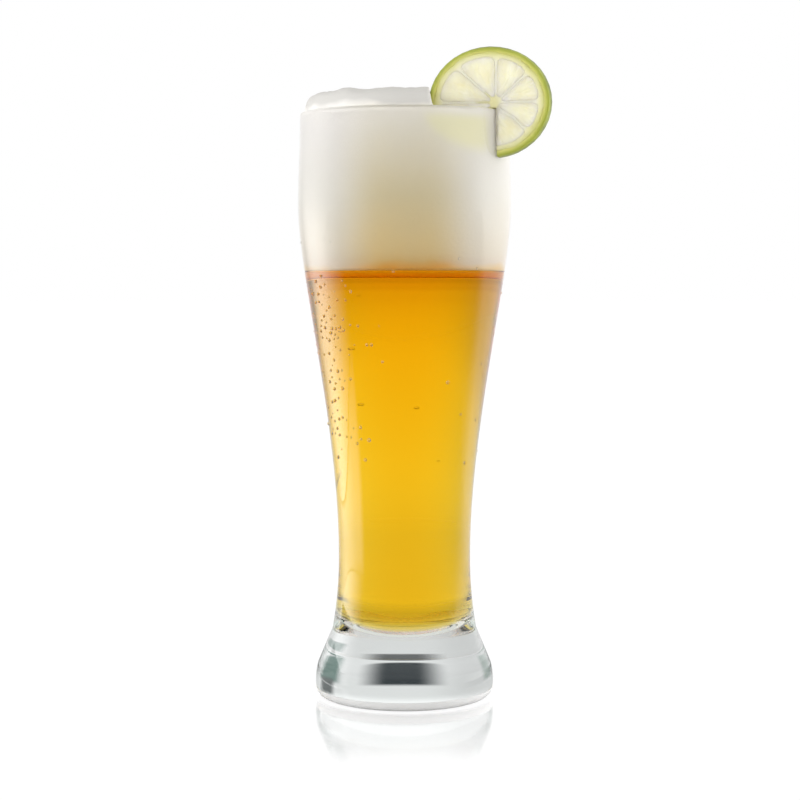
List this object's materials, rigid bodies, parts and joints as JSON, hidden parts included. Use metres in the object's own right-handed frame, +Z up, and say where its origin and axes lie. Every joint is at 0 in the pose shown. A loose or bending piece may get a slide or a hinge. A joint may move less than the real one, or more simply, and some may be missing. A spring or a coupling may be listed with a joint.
{
  "type": "filled beer glass",
  "caption": "Tall wheat-beer glass with a narrow waist and a heavy clear foot, filled with amber beer under a head of foam, with a slice of lime that lifts off its rim.",
  "frame": {"origin": "middle of the foot's flat underside, on the glass's axis, in the plane that it stands on", "axes": "+Z up along the glass's axis; the viewer stands at -Y; the lime slice is on the right, at +X"},
  "size_m": [0.0869, 0.0744, 0.2255],
  "materials": {
    "clear_glass": "polished",
    "beer": "polished",
    "foam": "matte",
    "lime_peel": "satin",
    "lime_pith": "matte",
    "lime_pulp": "gloss"
  },
  "bodies": {
    "filled_glass": {"glass_body": "clear_glass", "beer": "beer", "foam_head": "foam"},
    "lime_slice": {"lime_rind": "lime_peel", "lime_pith": "lime_pith", "lime_segment_1": "lime_pulp", "lime_segment_2": "lime_pulp", "lime_segment_3": "lime_pulp", "lime_segment_4": "lime_pulp", "lime_segment_5": "lime_pulp", "lime_segment_6": "lime_pulp", "lime_segment_7": "lime_pulp", "lime_segment_8": "lime_pulp"}
  },
  "joints": [
    {"name": "lime_lift", "type": "slide", "parent": "filled_glass", "child": "lime_slice", "axis": [0, 0, 1], "range_m": [0, 0.035]}
  ]
}
